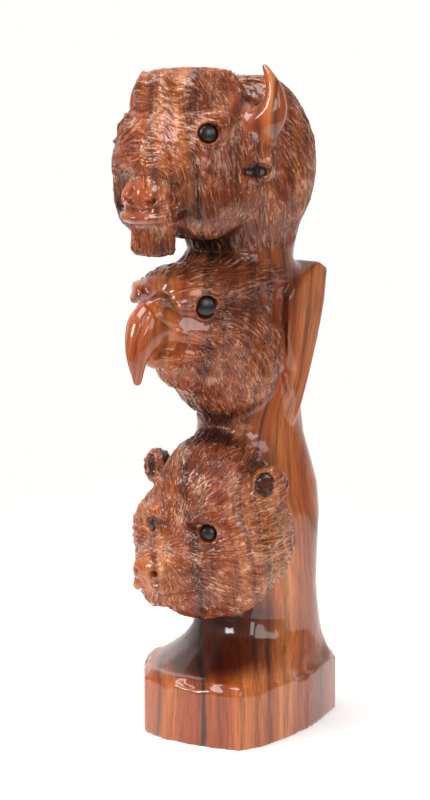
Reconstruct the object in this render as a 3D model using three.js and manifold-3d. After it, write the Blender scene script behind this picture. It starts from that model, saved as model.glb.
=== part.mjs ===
// A free-standing totem pole carved from one block of ironwood: a bison's head over an eagle's head
// over a bear's head, all facing -Y, on a smooth column with folded wings and a chamfered base.
// Millimetres, +Z up, the origin on the underside of the base. X is the carving's own left side.
import * as THREE from 'three';
import { mergeVertices } from 'three/addons/utils/BufferGeometryUtils.js';
import Module from 'manifold-3d';

const wasm = await Module();
wasm.setup();

const degrees = Math.PI / 180;

// Base: an irregular block with a soft front-left corner and a facet cut off the front-right one.
const baseHeight = 27.5;
const poleTop = 300.8;
const baseChamfer = 3;
const baseOutline = [
  [37.4, -32], [33.7, -42], [22, -46.6], [9, -49.3], [-4, -50.6], [-17.4, -48.2], [-31.5, -33.5], [-42.5, -18],
  [-43.5, 8], [-42, 30], [-34, 40], [-20, 45], [4, 47], [19, 44.8], [26.2, 38.6], [32.4, 20], [36.4, 5], [38.4, -14],
];

// Column: one row per level, [height, centre Y, half width X, half depth Y, squareness, share of
// the base outline still showing in the flare].
const columnRows = [
  [26, 11, 26, 28, 2.6, 0.97],
  [30, 11, 26, 28, 2.6, 0.88],
  [33.5, 11, 26, 28, 2.6, 0.64],
  [38, 11.5, 26, 28, 2.6, 0.33],
  [44, 12, 26, 28, 2.6, 0.11],
  [52, 11.5, 26.2, 27.4, 2.6, 0.02],
  [64, 10.5, 26.6, 26.4, 2.6, 0],
  [80, 10.5, 27.4, 26.2, 2.6, 0],
  [98, 11, 28, 26.2, 2.6, 0],
  [112, 10, 27, 25.6, 2.6, 0],
  [124, 8, 24.8, 23.8, 2.6, 0],
  [136, 6.3, 22.6, 22, 2.6, 0],
  [150, 5.6, 21.6, 21.4, 2.7, 0],
  [170, 7, 22.4, 22.5, 3, 0],
  [192, 8, 23.8, 23.6, 3.2, 0],
  [208, 4, 24, 25, 3, 0],
  [217, -0.5, 21.8, 22.4, 2.6, 0],
  [230, -0.5, 21.8, 21.8, 2.6, 0],
];
const columnFacets = 30;
const flareInset = 2.6;

// Wings: folded slabs either side of the column, wide at the shoulder and tapering down.
const wingOuterX = 28.2;
const wingInnerX = 12;
const wingTop = 214;
const wingOutline = [
  [1.5, 201], [5, 205], [24, 214.5], [31.6, 210.5], [30.2, 196], [25.8, 178], [20.2, 162], [14.5, 148], [9.5, 140],
  [4.5, 146], [2, 162], [0.5, 184],
];
const wingTaper = 0.28;

const bisonEye = { at: [25, -53.4, 277], facing: [0.7, -0.7, 0.06], radius: 4.5 };
const eagleEye = { at: [19.8, -48.2, 201], facing: [0.74, -0.66, 0], radius: 4.6 };
const bearEye = { at: [17, -44.2, 98.4], facing: [0.45, -0.88, 0.1], radius: 3.7 };
const eyeGap = 0.3;
const eyeDome = 1.6;
const eyeDepth = 2.6;

// Blended forms: [centre], [radii], softness of the blend, and a tilt about X in degrees.
const bisonForms = [
  { at: [0, -2, 260.5], size: [35.6, 33.8, 43.4], soft: 1 },
  { at: [0, -34, 269], size: [31.5, 29, 31], soft: 10 },
  { at: [0, -53, 263.5], size: [25, 14, 19], soft: 9 },
  { at: [19, -38, 256], size: [15, 20, 22], soft: 7 },
  { at: [0, -50, 246], size: [17, 17, 14], soft: 6 },
  { at: [24, -47.5, 280], size: [8.5, 8.5, 6], soft: 5 },
  { at: [0, -39, 289.5], size: [18.5, 21, 15.2], soft: 5 },
  { at: [0, -30, 244], size: [22, 26, 14], soft: 6 },
  { at: [32, -23, 272], size: [8.5, 9, 8.5], soft: 4 },
];
const bisonMuzzleForms = [
  { at: [0, -56, 247], size: [18, 14.5, 9.5], soft: 1, square: 2.6 },
  { at: [9, -63, 247.5], size: [8, 9, 6.8], soft: 4 },
  { at: [0, -58.5, 240], size: [17, 12.5, 4.6], soft: 2, square: 2.6 },
  { at: [0, -61.5, 231.5], size: [9.4, 5.4, 6.6], soft: 2, square: 4 },
];
const eagleForms = [
  { at: [0, -24, 189], size: [27, 28, 23], soft: 1 },
  { at: [0, -13, 172], size: [28.5, 22, 28], soft: 8 },
  { at: [0, -42, 191], size: [19, 18, 16], soft: 7 },
  { at: [0, -27, 207.6], size: [24.5, 30, 10.6], soft: 4, square: 2.3 },
  { at: [14, -46, 203.5], size: [8.5, 15, 4.6], soft: 3, tilt: 8 },
  { at: [0, -55.5, 175.6], size: [8.5, 11.5, 6.4], soft: 3 },
  { at: [0, -28.5, 172], size: [17, 17, 14.5], soft: 7 },
];
const bearForms = [
  { at: [0, -15, 91], size: [37, 29, 33], soft: 1 },
  { at: [0, -24, 113], size: [26, 19, 18], soft: 7 },
  { at: [21.5, -27, 93], size: [16, 16, 19], soft: 7 },
  { at: [18, -27, 77], size: [16, 18, 18], soft: 7 },
  { at: [0, -43, 83], size: [14, 18, 14], soft: 7 },
  { at: [12.5, -42, 104], size: [8.5, 7, 5.5], soft: 5 },
  { at: [0, -28, 68.5], size: [22, 20, 14], soft: 6 },
  { at: [0, -21, 123], size: [21, 17, 15], soft: 4 },
];
const bearMuzzleForms = [
  { at: [0, -51, 81.5], size: [12, 14, 9.5], soft: 1 },
  { at: [0, -64.5, 82.5], size: [6.6, 5, 5.2], soft: 2.5 },
  { at: [5, -57.5, 76.5], size: [6.5, 8.5, 5.5], soft: 3 },
  { at: [0, -54.5, 69.8], size: [8, 10, 5.4], soft: 3 },
];

// ---- solids and blended forms ----

function toSolid(geometry) {
  const bare = geometry.clone();
  bare.deleteAttribute('normal');
  bare.deleteAttribute('uv');
  const merged = mergeVertices(bare, 1e-3);
  return new wasm.Manifold(new wasm.Mesh({
    numProp: 3,
    vertProperties: new Float32Array(merged.attributes.position.array),
    triVerts: new Uint32Array(merged.index.array),
  }));
}

function toGeometry(solid) {
  const mesh = solid.getMesh();
  const geometry = new THREE.BufferGeometry();
  geometry.setAttribute('position', new THREE.BufferAttribute(new Float32Array(mesh.vertProperties), 3));
  geometry.setIndex(new THREE.BufferAttribute(new Uint32Array(mesh.triVerts), 1));
  geometry.computeVertexNormals();
  return geometry;
}

// How far (x, y, z) lies outside one egg-shaped form, negative inside.
function outsideForm(form, x, y, z) {
  const tilt = (form.tilt || 0) * degrees;
  const dy = y - form.at[1];
  const dz = z - form.at[2];
  const a = (x - form.at[0]) / form.size[0];
  const b = (dy * Math.cos(tilt) + dz * Math.sin(tilt)) / form.size[1];
  const c = (dz * Math.cos(tilt) - dy * Math.sin(tilt)) / form.size[2];
  if (form.square) {
    const [p, q, r] = [a, b, c].map((v) => Math.abs(v) ** form.square);
    return ((p + q + r) ** (1 / form.square) - 1) * Math.min(...form.size);
  }
  const close = Math.hypot(a, b, c);
  const steep = Math.hypot(a / form.size[0], b / form.size[1], c / form.size[2]);
  return close < 1e-6 ? -Math.min(...form.size) : close * (close - 1) / steep;
}

function blend(a, b, soft) {
  const mix = Math.max(soft - Math.abs(a - b), 0) / soft;
  return Math.min(a, b) - mix * mix * soft / 4;
}

// A form off the middle counts on both sides.
function outsideHead(forms, x, y, z) {
  let far = 1e3;
  for (const form of forms) {
    let one = outsideForm(form, x, y, z);
    if (form.at[0]) one = Math.min(one, outsideForm(form, -x, y, z));
    far = blend(far, one, form.soft);
  }
  return far;
}

// A sphere with its pole on the nose or the crown, each vertex moved out to the blended forms.
function headGeometry({ centre, forms, pole, around, along, relief }) {
  const sphere = new THREE.SphereGeometry(1, around, along);
  sphere.rotateX(pole === 'nose' ? Math.PI : Math.PI / 2);
  const position = sphere.attributes.position;
  const dir = new THREE.Vector3();
  const spot = new THREE.Vector3();
  const outsideAt = (r) => {
    spot.set(...centre).addScaledVector(dir, r);
    return outsideHead(forms, spot.x, spot.y, spot.z);
  };
  for (let i = 0; i < position.count; i++) {
    const ring = Math.floor(i / (around + 1));
    const meridian = i % (around + 1) % around;
    dir.fromBufferAttribute(position, i).normalize();
    let inner = 0;
    let outer = 2;
    while (outer < 140 && outsideAt(outer) < 0) {
      inner = outer;
      outer += 2;
    }
    for (let n = 0; n < 12; n++) {
      const middle = (inner + outer) / 2;
      if (outsideAt(middle) < 0) inner = middle;
      else outer = middle;
    }
    spot.set(...centre).addScaledVector(dir, outer);
    if (relief && ring > 0 && ring < along) spot.addScaledVector(dir, relief(spot, ring, meridian));
    position.setXYZ(i, spot.x, spot.y, spot.z);
  }
  return sphere;
}

const clamp = (v, low, high) => Math.max(low, Math.min(high, v));
const ramp = (v, from, to) => clamp((v - from) / (to - from), 0, 1);
const near = (p, at, reach) => {
  const away = Math.hypot(Math.abs(p.x) - at[0], p.y - at[1], p.z - at[2]);
  return Math.exp(-((away / reach) ** 2));
};

// Pointed locks: neighbouring meridians rise and fall in turn, and swap every few rings.
function locks(ring, meridian, step, depth) {
  const odd = (meridian + Math.floor(ring / step)) % 2;
  const along = (ring % step) / step;
  return odd ? depth * (0.45 + 0.55 * along) : -depth * (0.3 + 0.5 * along);
}

function bisonRelief(spot, ring, meridian) {
  const bare = ramp(spot.z, 246, 256) + ramp(spot.y, -52, -44);
  const socket = near(spot, bisonEye.at, 7);
  const depth = 1.5 * Math.min(1, bare) * (1 - socket);
  const forelock = ramp(spot.z, 268, 280) * ramp(-spot.y, 34, 44) * ramp(26 - Math.abs(spot.x), 0, 6);
  return locks(ring, meridian, 2, depth + 0.7 * forelock) - 1.6 * socket;
}

function eagleRelief(spot, ring, meridian) {
  const feathered = ramp(spot.y, -46, -36) * ramp(211 - spot.z, 0, 4);
  const socket = near(spot, eagleEye.at, 6.5);
  return locks(ring, meridian, 3, 1.3 * feathered * (1 - socket)) - 1.6 * socket;
}

function bearRelief(spot, ring, meridian) {
  const furry = ramp(spot.y, -55, -43);
  const ruff = ramp(spot.y, -36, -22);
  const socket = near(spot, bearEye.at, 6);
  return locks(ring, meridian, 2, (0.7 + 1.1 * ruff) * furry * (1 - socket)) - 1.4 * socket;
}

// ---- swept and lofted forms ----

// A cylinder bent to run through the points, tapering through the radii; flat squashes it sideways.
function bentHorn(points, radii, flat, sides, steps) {
  const curve = new THREE.CatmullRomCurve3(points.map((p) => new THREE.Vector3(...p)));
  const horn = new THREE.CylinderGeometry(1, 1, 1, sides, steps);
  const position = horn.attributes.position;
  const side = new THREE.Vector3();
  const up = new THREE.Vector3();
  for (let i = 0; i < position.count; i++) {
    const t = clamp(position.getY(i) + 0.5, 0, 1);
    const run = t * (radii.length - 1);
    const k = Math.min(radii.length - 2, Math.floor(run));
    const radius = radii[k] + (radii[k + 1] - radii[k]) * (run - k);
    const ahead = curve.getTangentAt(t);
    side.set(0, 0, 0).crossVectors(ahead, new THREE.Vector3(0, 1, 0.001));
    if (flat.axis) side.copy(flat.axis).addScaledVector(ahead, -flat.axis.dot(ahead));
    side.normalize();
    up.crossVectors(side, ahead).normalize();
    const spot = curve.getPointAt(t);
    spot.addScaledVector(side, position.getX(i) * radius * flat.wide);
    spot.addScaledVector(up, position.getZ(i) * radius);
    position.setXYZ(i, spot.x, spot.y, spot.z);
  }
  return facingOut(horn);
}

function flipped(geometry) {
  const turned = geometry.clone();
  const index = turned.index.array;
  for (let i = 0; i < index.length; i += 3) [index[i + 1], index[i + 2]] = [index[i + 2], index[i + 1]];
  return turned;
}

// The moved vertices can turn a surface inside out; this turns it back.
function facingOut(geometry) {
  const solid = toSolid(geometry);
  return solid.volume() < 0 ? toSolid(flipped(geometry)) : solid;
}

function mirrored(solid) {
  return toSolid(flipped(toGeometry(solid).scale(-1, 1, 1)));
}

function egg(at, size, turn, sides, rings) {
  const sphere = new THREE.SphereGeometry(1, sides, rings);
  sphere.scale(size[0], size[1], size[2]);
  sphere.rotateX(turn[0] * degrees).rotateY(turn[1] * degrees).rotateZ(turn[2] * degrees);
  sphere.translate(at[0], at[1], at[2]);
  return toSolid(sphere);
}

// How far the base outline lies from (cx, cy) in the direction (dx, dy).
function outlineReach(cx, cy, dx, dy) {
  let reach = 0;
  baseOutline.forEach(([ax, ay], i) => {
    const [bx, by] = baseOutline[(i + 1) % baseOutline.length];
    const det = dx * (by - ay) - dy * (bx - ax);
    if (Math.abs(det) < 1e-9) return;
    const along = ((ax - cx) * (by - ay) - (ay - cy) * (bx - ax)) / det;
    const share = ((ax - cx) * dy - (ay - cy) * dx) / det;
    if (along > 0 && share >= 0 && share <= 1) reach = Math.max(reach, along);
  });
  return reach;
}

function columnSolid() {
  const levels = columnRows.length - 1;
  const column = new THREE.CylinderGeometry(1, 1, 1, columnFacets, levels);
  column.rotateX(Math.PI / 2);
  const position = column.attributes.position;
  for (let i = 0; i < position.count; i++) {
    const [z, cy, hx, hy, square, flare] = columnRows[Math.round((position.getZ(i) + 0.5) * levels)];
    const x = position.getX(i);
    const y = position.getY(i);
    if (Math.hypot(x, y) < 1e-6) {
      position.setXYZ(i, 0, cy, z);
      continue;
    }
    const reach = 1 / Math.pow(Math.abs(x) ** square + Math.abs(y) ** square, 1 / square);
    const far = Math.hypot(x * hx, y * hy) || 1;
    const round = Math.hypot(x * reach * hx, y * reach * hy);
    const wide = outlineReach(0, cy, x * hx / far, y * hy / far) - flareInset;
    const out = round + (wide - round) * flare;
    position.setXYZ(i, x * hx / far * out, cy + y * hy / far * out, z);
  }
  return facingOut(column);
}

function baseSolid() {
  const shape = new THREE.Shape(baseOutline.map(([x, y]) => new THREE.Vector2(x, y)));
  const block = new THREE.ExtrudeGeometry(shape, { depth: baseHeight, bevelEnabled: false });
  const cap = new THREE.ExtrudeGeometry(shape, {
    depth: 0.6, bevelEnabled: true, bevelThickness: baseChamfer, bevelSize: baseChamfer * 1.2,
    bevelOffset: -baseChamfer * 1.2, bevelSegments: 1,
  });
  cap.translate(0, 0, baseHeight - 0.6);
  return toSolid(block).add(toSolid(cap));
}

function wingSolid() {
  const shape = new THREE.Shape(wingOutline.map(([y, z]) => new THREE.Vector2(y, z)));
  const slab = new THREE.ExtrudeGeometry(shape, {
    depth: wingOuterX - wingInnerX - 3, bevelEnabled: true, bevelThickness: 1.5, bevelSize: 1.4,
    bevelOffset: -1.4, bevelSegments: 1,
  });
  const position = slab.attributes.position;
  for (let i = 0; i < position.count; i++) {
    const y = position.getX(i);
    const z = position.getY(i);
    const out = position.getZ(i) + 1.5;
    const narrow = 1 - wingTaper * ramp(wingTop - z, 0, 76);
    position.setXYZ(i, wingInnerX + out * narrow - (out > 8 ? 2.2 * ramp(y, 14, 33) : 0), y, z);
  }
  return facingOut(slab);
}

// ---- eyes: a domed bead in a blind round socket ----

function eyeFrame(eye, side) {
  const facing = new THREE.Vector3(eye.facing[0] * side, eye.facing[1], eye.facing[2]).normalize();
  const turn = new THREE.Quaternion().setFromUnitVectors(new THREE.Vector3(0, 1, 0), facing);
  return new THREE.Matrix4().makeRotationFromQuaternion(turn).setPosition(eye.at[0] * side, eye.at[1], eye.at[2]);
}

function eyeBead(eye, side) {
  const profile = [[0, -eyeDepth], [eye.radius * 0.9, -eyeDepth], [eye.radius, -eyeDepth + 0.6], [eye.radius, 0]];
  for (let n = 1; n <= 3; n++) {
    const a = n / 3 * 90 * degrees;
    profile.push([eye.radius * Math.cos(a), eyeDome * Math.sin(a)]);
  }
  profile[profile.length - 1][0] = 0;
  const bead = new THREE.LatheGeometry(profile.map(([r, h]) => new THREE.Vector2(r, h)), 12);
  return bead.applyMatrix4(eyeFrame(eye, side));
}

function eyeSocket(eye, side) {
  const depth = eyeDepth + eyeGap + 6;
  const socket = new THREE.CylinderGeometry(eye.radius + eyeGap, eye.radius + eyeGap, depth, 14);
  socket.translate(0, depth / 2 - eyeDepth - eyeGap, 0);
  return toSolid(socket.applyMatrix4(eyeFrame(eye, side)));
}

// ---- the three heads ----

function bisonHead() {
  const head = toSolid(headGeometry({
    centre: [0, -26, 262], forms: bisonForms, pole: 'crown', around: 44, along: 20, relief: bisonRelief,
  }));
  const muzzle = toSolid(headGeometry({
    centre: [0, -57, 241], forms: bisonMuzzleForms, pole: 'nose', around: 20, along: 12,
  }));
  const horn = bentHorn(
    [[20, -21, 275], [31, -22.5, 272.5], [38.2, -24, 278.5], [39.6, -24.4, 289], [33, -24.4, 306]],
    [8, 7.8, 6.2, 4.3, 0.6], { wide: 1 }, 9, 8,
  );
  const ear = egg([36.5, -23, 260.5], [9.5, 4.6, 6], [0, 10, 48], 10, 6)
    .subtract(egg([38.5, -25.5, 261], [7, 3.2, 3.8], [0, 10, 48], 8, 4));
  const nostril = egg([8, -71, 246.7], [3.4, 3, 1.6], [0, -24, 30], 8, 4);
  const mouth = egg([0, -60, 236.4], [18, 13, 0.8], [-4, 0, 0], 14, 4);
  const above = new THREE.BoxGeometry(200, 200, 40);
  above.translate(0, 88, poleTop + 20);
  const solid = head.add(muzzle).subtract(toSolid(above)).add(horn).add(mirrored(horn)).add(ear).add(mirrored(ear));
  return solid.subtract(nostril).subtract(mirrored(nostril)).subtract(mouth);
}

function eagleHead() {
  const head = toSolid(headGeometry({
    centre: [0, -24, 188], forms: eagleForms, pole: 'nose', around: 34, along: 20, relief: eagleRelief,
  }));
  const beak = bentHorn(
    [[0, -42, 193], [0, -55.5, 194.5], [0, -64.6, 190.8], [0, -70.8, 181], [0, -71, 168.2]],
    [12, 12.4, 10.6, 6.4, 1.7], { wide: 0.8, axis: new THREE.Vector3(1, 0, 0) }, 12, 8,
  );
  const gape = egg([0, -50, 182.2], [21, 17, 1.1], [-3, 0, 0], 16, 4);
  return head.add(beak).subtract(gape);
}

function bearHead() {
  const head = toSolid(headGeometry({
    centre: [0, -18, 92], forms: bearForms, pole: 'nose', around: 40, along: 19, relief: bearRelief,
  }));
  const muzzle = toSolid(headGeometry({
    centre: [0, -52, 78], forms: bearMuzzleForms, pole: 'nose', around: 16, along: 11,
  }));
  const ear = egg([34, -20.5, 116.8], [12, 7, 10.8], [0, 0, 26], 12, 7)
    .subtract(egg([37, -27.5, 116.4], [7.4, 5.6, 7], [0, 0, 26], 10, 5));
  const nostril = egg([3.4, -69, 82], [1.7, 2.6, 1.3], [0, 0, 20], 8, 4);
  const mouth = egg([0, -58, 72.5], [12, 12, 0.8], [4, 0, 0], 14, 4);
  const solid = head.add(muzzle).add(ear).add(mirrored(ear));
  return solid.subtract(nostril).subtract(mirrored(nostril)).subtract(mouth);
}

// ---- assembly ----

const wing = wingSolid();
let carving = baseSolid().add(columnSolid()).add(wing).add(mirrored(wing));
carving = carving.add(bearHead()).add(eagleHead()).add(bisonHead());

const group = new THREE.Group();
const eyeMaterial = { color: 0x0c0908, roughness: 0.12, metalness: 0 };
for (const [name, eye] of [['bison', bisonEye], ['eagle', eagleEye], ['bear', bearEye]]) {
  for (const side of [1, -1]) {
    carving = carving.subtract(eyeSocket(eye, side));
    const bead = new THREE.Mesh(eyeBead(eye, side), new THREE.MeshStandardMaterial(eyeMaterial));
    bead.name = name + '_eye_' + (side > 0 ? 'left' : 'right');
    group.add(bead);
  }
}
const wood = new THREE.MeshStandardMaterial({ color: 0x8f4f33, roughness: 0.3, metalness: 0 });
const pole = new THREE.Mesh(toGeometry(carving), wood);
pole.name = 'carving';
group.add(pole);

export default group;
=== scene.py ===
import math

import bmesh
import bpy
import numpy as np
from mathutils import Matrix, Vector, kdtree


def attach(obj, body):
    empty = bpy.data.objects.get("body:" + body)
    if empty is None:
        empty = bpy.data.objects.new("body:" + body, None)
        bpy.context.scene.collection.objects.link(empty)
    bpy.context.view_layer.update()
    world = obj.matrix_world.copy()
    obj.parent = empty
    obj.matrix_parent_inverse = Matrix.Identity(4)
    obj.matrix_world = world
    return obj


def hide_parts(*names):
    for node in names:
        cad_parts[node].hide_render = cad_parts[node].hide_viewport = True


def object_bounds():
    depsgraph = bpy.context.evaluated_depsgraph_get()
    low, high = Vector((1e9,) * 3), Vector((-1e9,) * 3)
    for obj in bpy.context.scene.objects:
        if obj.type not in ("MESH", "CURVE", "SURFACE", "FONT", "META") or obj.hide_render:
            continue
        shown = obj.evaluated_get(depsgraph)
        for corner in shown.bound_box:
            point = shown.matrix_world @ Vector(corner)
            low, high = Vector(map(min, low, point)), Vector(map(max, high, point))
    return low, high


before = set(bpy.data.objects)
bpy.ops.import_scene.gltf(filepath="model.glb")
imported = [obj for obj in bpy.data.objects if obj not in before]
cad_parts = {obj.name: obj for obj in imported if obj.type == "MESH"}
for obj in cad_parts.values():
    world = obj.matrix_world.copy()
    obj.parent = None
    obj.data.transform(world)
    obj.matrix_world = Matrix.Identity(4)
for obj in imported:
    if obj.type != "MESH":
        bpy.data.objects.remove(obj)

cadLow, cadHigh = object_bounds()
mm = (cadHigh[2] - cadLow[2]) / 306.2  # one millimetre of the pole in scene metres
rng = np.random.default_rng(7)

# Sizes and places of the carving are in millimetres: +Z up, faces looking along -Y.
# A form is (centre), (radii), softness of its blend, extras: "square" fattens it towards a block,
# "tilt" turns it about X, "turn" turns it about Z. A form off the middle is mirrored, and
# "far" gives its twin another centre.

skin = {
    "roughVoxel": 1.3,
    "voxel": 0.45,  # grid of the fine skin, before it is thinned
    "faceLimit": 195000,
    "sawnTop": 299.6,     # the flat crown behind the horns
    "sawnFromY": -10.0,
    "footTop": 56,        # below this height the skin stays as the column and the base are built
}


def ramp(v, start, end):
    t = np.clip((v - start) / (end - start), 0, 1)
    return t * t * (3 - 2 * t)


# How far a point lies outside each form, in mm; below nought inside.
def turned(d, turn, tilt):
    if turn:
        a = math.radians(turn)
        d = np.stack([d[:, 0] * math.cos(a) + d[:, 1] * math.sin(a),
                      d[:, 1] * math.cos(a) - d[:, 0] * math.sin(a), d[:, 2]], 1)
    if tilt:
        a = math.radians(tilt)
        d = np.stack([d[:, 0], d[:, 1] * math.cos(a) + d[:, 2] * math.sin(a),
                      d[:, 2] * math.cos(a) - d[:, 1] * math.sin(a)], 1)
    return d


def outsideEgg(p, at, radii, extra, side=1):
    d = turned(p - np.array(at, float), extra.get("turn", 0) * side, extra.get("tilt", 0))
    r = np.array(radii, float)
    if extra.get("square"):
        n = extra["square"]
        return ((np.abs(d / r) ** n).sum(1) ** (1 / n) - 1) * min(radii)
    near = np.linalg.norm(d / r, axis=1)
    return near * (near - 1) / (np.linalg.norm(d / (r * r), axis=1) + 1e-9)


def outsideForm(p, form):
    at, radii, _, extra = form
    d = outsideEgg(p, at, radii, extra)
    if at[0] and not extra.get("single"):
        twin = extra.get("far", (-at[0], at[1], at[2]))
        d = np.minimum(d, outsideEgg(p, twin, radii, extra, -1))
    return d


def softMin(a, b, k):
    h = np.maximum(k - np.abs(a - b), 0) / k
    return np.minimum(a, b) - h * h * k / 4


def softCut(a, b, k):  # a with b taken away
    return -softMin(-a, b, k)


def curvePoints(path, steps):
    pts = np.array(path, float)
    padded = np.vstack([2 * pts[0] - pts[1], pts, 2 * pts[-1] - pts[-2]])
    out = []
    for s in np.linspace(0, len(pts) - 1, steps):
        k = min(int(s), len(pts) - 2)
        t = s - k
        a, b, c, d = padded[k:k + 4]
        out.append(0.5 * (2 * b + (c - a) * t + (2 * a - 5 * b + 4 * c - d) * t ** 2
                          + (3 * b - a - 3 * c + d) * t ** 3))
    return np.array(out)


def outsideTube(p, path, radii, wide=1.0):
    line = curvePoints(path, 60)
    thick = np.interp(np.linspace(0, 1, 60), np.linspace(0, 1, len(radii)), radii)
    squash = np.array([1 / wide, 1, 1])
    d = np.full(len(p), 1e3)
    for c, r in zip(line, thick):
        d = np.minimum(d, np.linalg.norm((p - c) * squash, axis=1) - r)
    return d


bison = {
    "name": "bison",
    "zone": (208, 312),   # heights between which this head's forms count
    "forms": [
        ((0, -2, 260.5), (35.6, 33.8, 43.4), 1, {}),
        ((0, -34, 269), (31.5, 29, 31), 10, {}),
        ((0, -54, 264), (27, 15.6, 19), 7, {}),
        ((19, -38, 256), (15, 20, 22), 7, {}),
        ((0, -50, 246), (16, 17, 14), 6, {}),
        ((17.5, -46, 246), (12.5, 15, 16), 6, {}),
        ((24, -47.5, 280), (8.5, 8.5, 6), 5, {"far": (-22.5, -47, 276)}),
        ((0.6, -37, 288.4), (21.6, 20, 15.6), 2, {"square": 4, "single": True}),
        ((0, -30, 243), (22, 27, 15), 6, {}),
        ((29, -26, 271), (8.5, 9, 8.5), 7, {}),
        ((0, -56, 247), (13.4, 15, 9), 2, {"square": 2.6}),
        ((0, -64.5, 250), (4.6, 7, 8), 2.2, {}),
        ((7.2, -63, 248.5), (5.8, 8.2, 7), 2.2, {}),
        ((0, -58.5, 239.6), (14.5, 12.8, 4.2), 1.5, {"square": 2.6}),
        ((0, -61, 230.6), (9.6, 5.8, 7.6), 1.5, {"square": 6}),
        ((34.4, -30.4, 260.4), (9, 4.6, 5.6), 1.5, {"turn": 48}),
        ((38.8, -24.6, 265), (3.6, 3.4, 4.2), 2, {}),
    ],
    "hornPath": [
        (20, -26, 277), (30.5, -25, 279), (37.4, -24.6, 285.6), (38.6, -24.6, 293.6), (36.4, -24.6, 299.6),
        (33, -24.6, 304.8),
    ],
    "farHornPath": [
        (-20, -26, 277), (-30.5, -25, 278), (-37.6, -24.6, 282), (-40.6, -24.6, 289), (-39.6, -24.6, 295),
        (-37.6, -24.6, 300.5),
    ],
    "hornRadii": [10, 9.0, 6.2, 3.9, 2.5, 1.2],
    "hollows": [
        ((37.2, -34.2, 260.2), (6.8, 4.8, 3.7), 0.6, {"turn": 48}),   # the ears
        ((18, -14, 305), (20, 7.5, 15), 2, {"turn": 8}),   # valley behind the forelock
        ((28.5, -34, 308), (16, 24, 18), 2, {"single": True}),   # the forelock slopes off to the left side
    ],
    # lines cut with the gouge: path, width, depth; a negative depth leaves a raised roll
    "dents": [],          # pressed in: centre, radii, depth
    "bare": [((0, -69, 245.6), (14, 11, 10))],   # left without hair: nose and lips
    "lines": [
        ([(0, -70, 258.4), (8, -68, 258), (13, -64, 256), (16, -60, 251)], 2.2, 1.4),
        ([(4.2, -71, 256), (4.2, -72, 252), (4.4, -73, 248.5)], 1.6, 1.4),
        ([(3, -73, 246.4), (6.6, -72.5, 246.6), (10, -70.5, 249.4)], 2.0, 4.0),
        ([(12.6, -66, 252), (13.8, -63, 248), (13.2, -65, 244.5)], 1.8, 1.4),
        ([(0, -71, 240), (8, -70.3, 240.2), (13, -67.5, 241.6), (17.5, -61.5, 246)], 2.6, -1.5),
        ([(0, -72, 243.4), (8, -71.6, 243.4), (13, -69, 244.6), (16, -65, 248)], 1.4, 1.4),
        ([(0, -69.5, 236), (7, -68.6, 236.4), (12, -66, 237.6), (15, -61.5, 240.5),
          (18.5, -57, 245)], 1.6, 2.4),
        ([(-6, -67, 236), (-6, -67, 224)], 1.2, 0.9),
        ([(3.2, -67, 236), (3.4, -67, 224)], 1.2, 0.9),
        ([(15, -58, 283), (20, -55.5, 285), (27, -50, 284.6), (32, -44, 281)], 3.6, -1.7),
        ([(18, -57, 272), (24, -52, 271), (29.5, -47, 273.5)], 2.6, -0.8),
    ],
}

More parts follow.
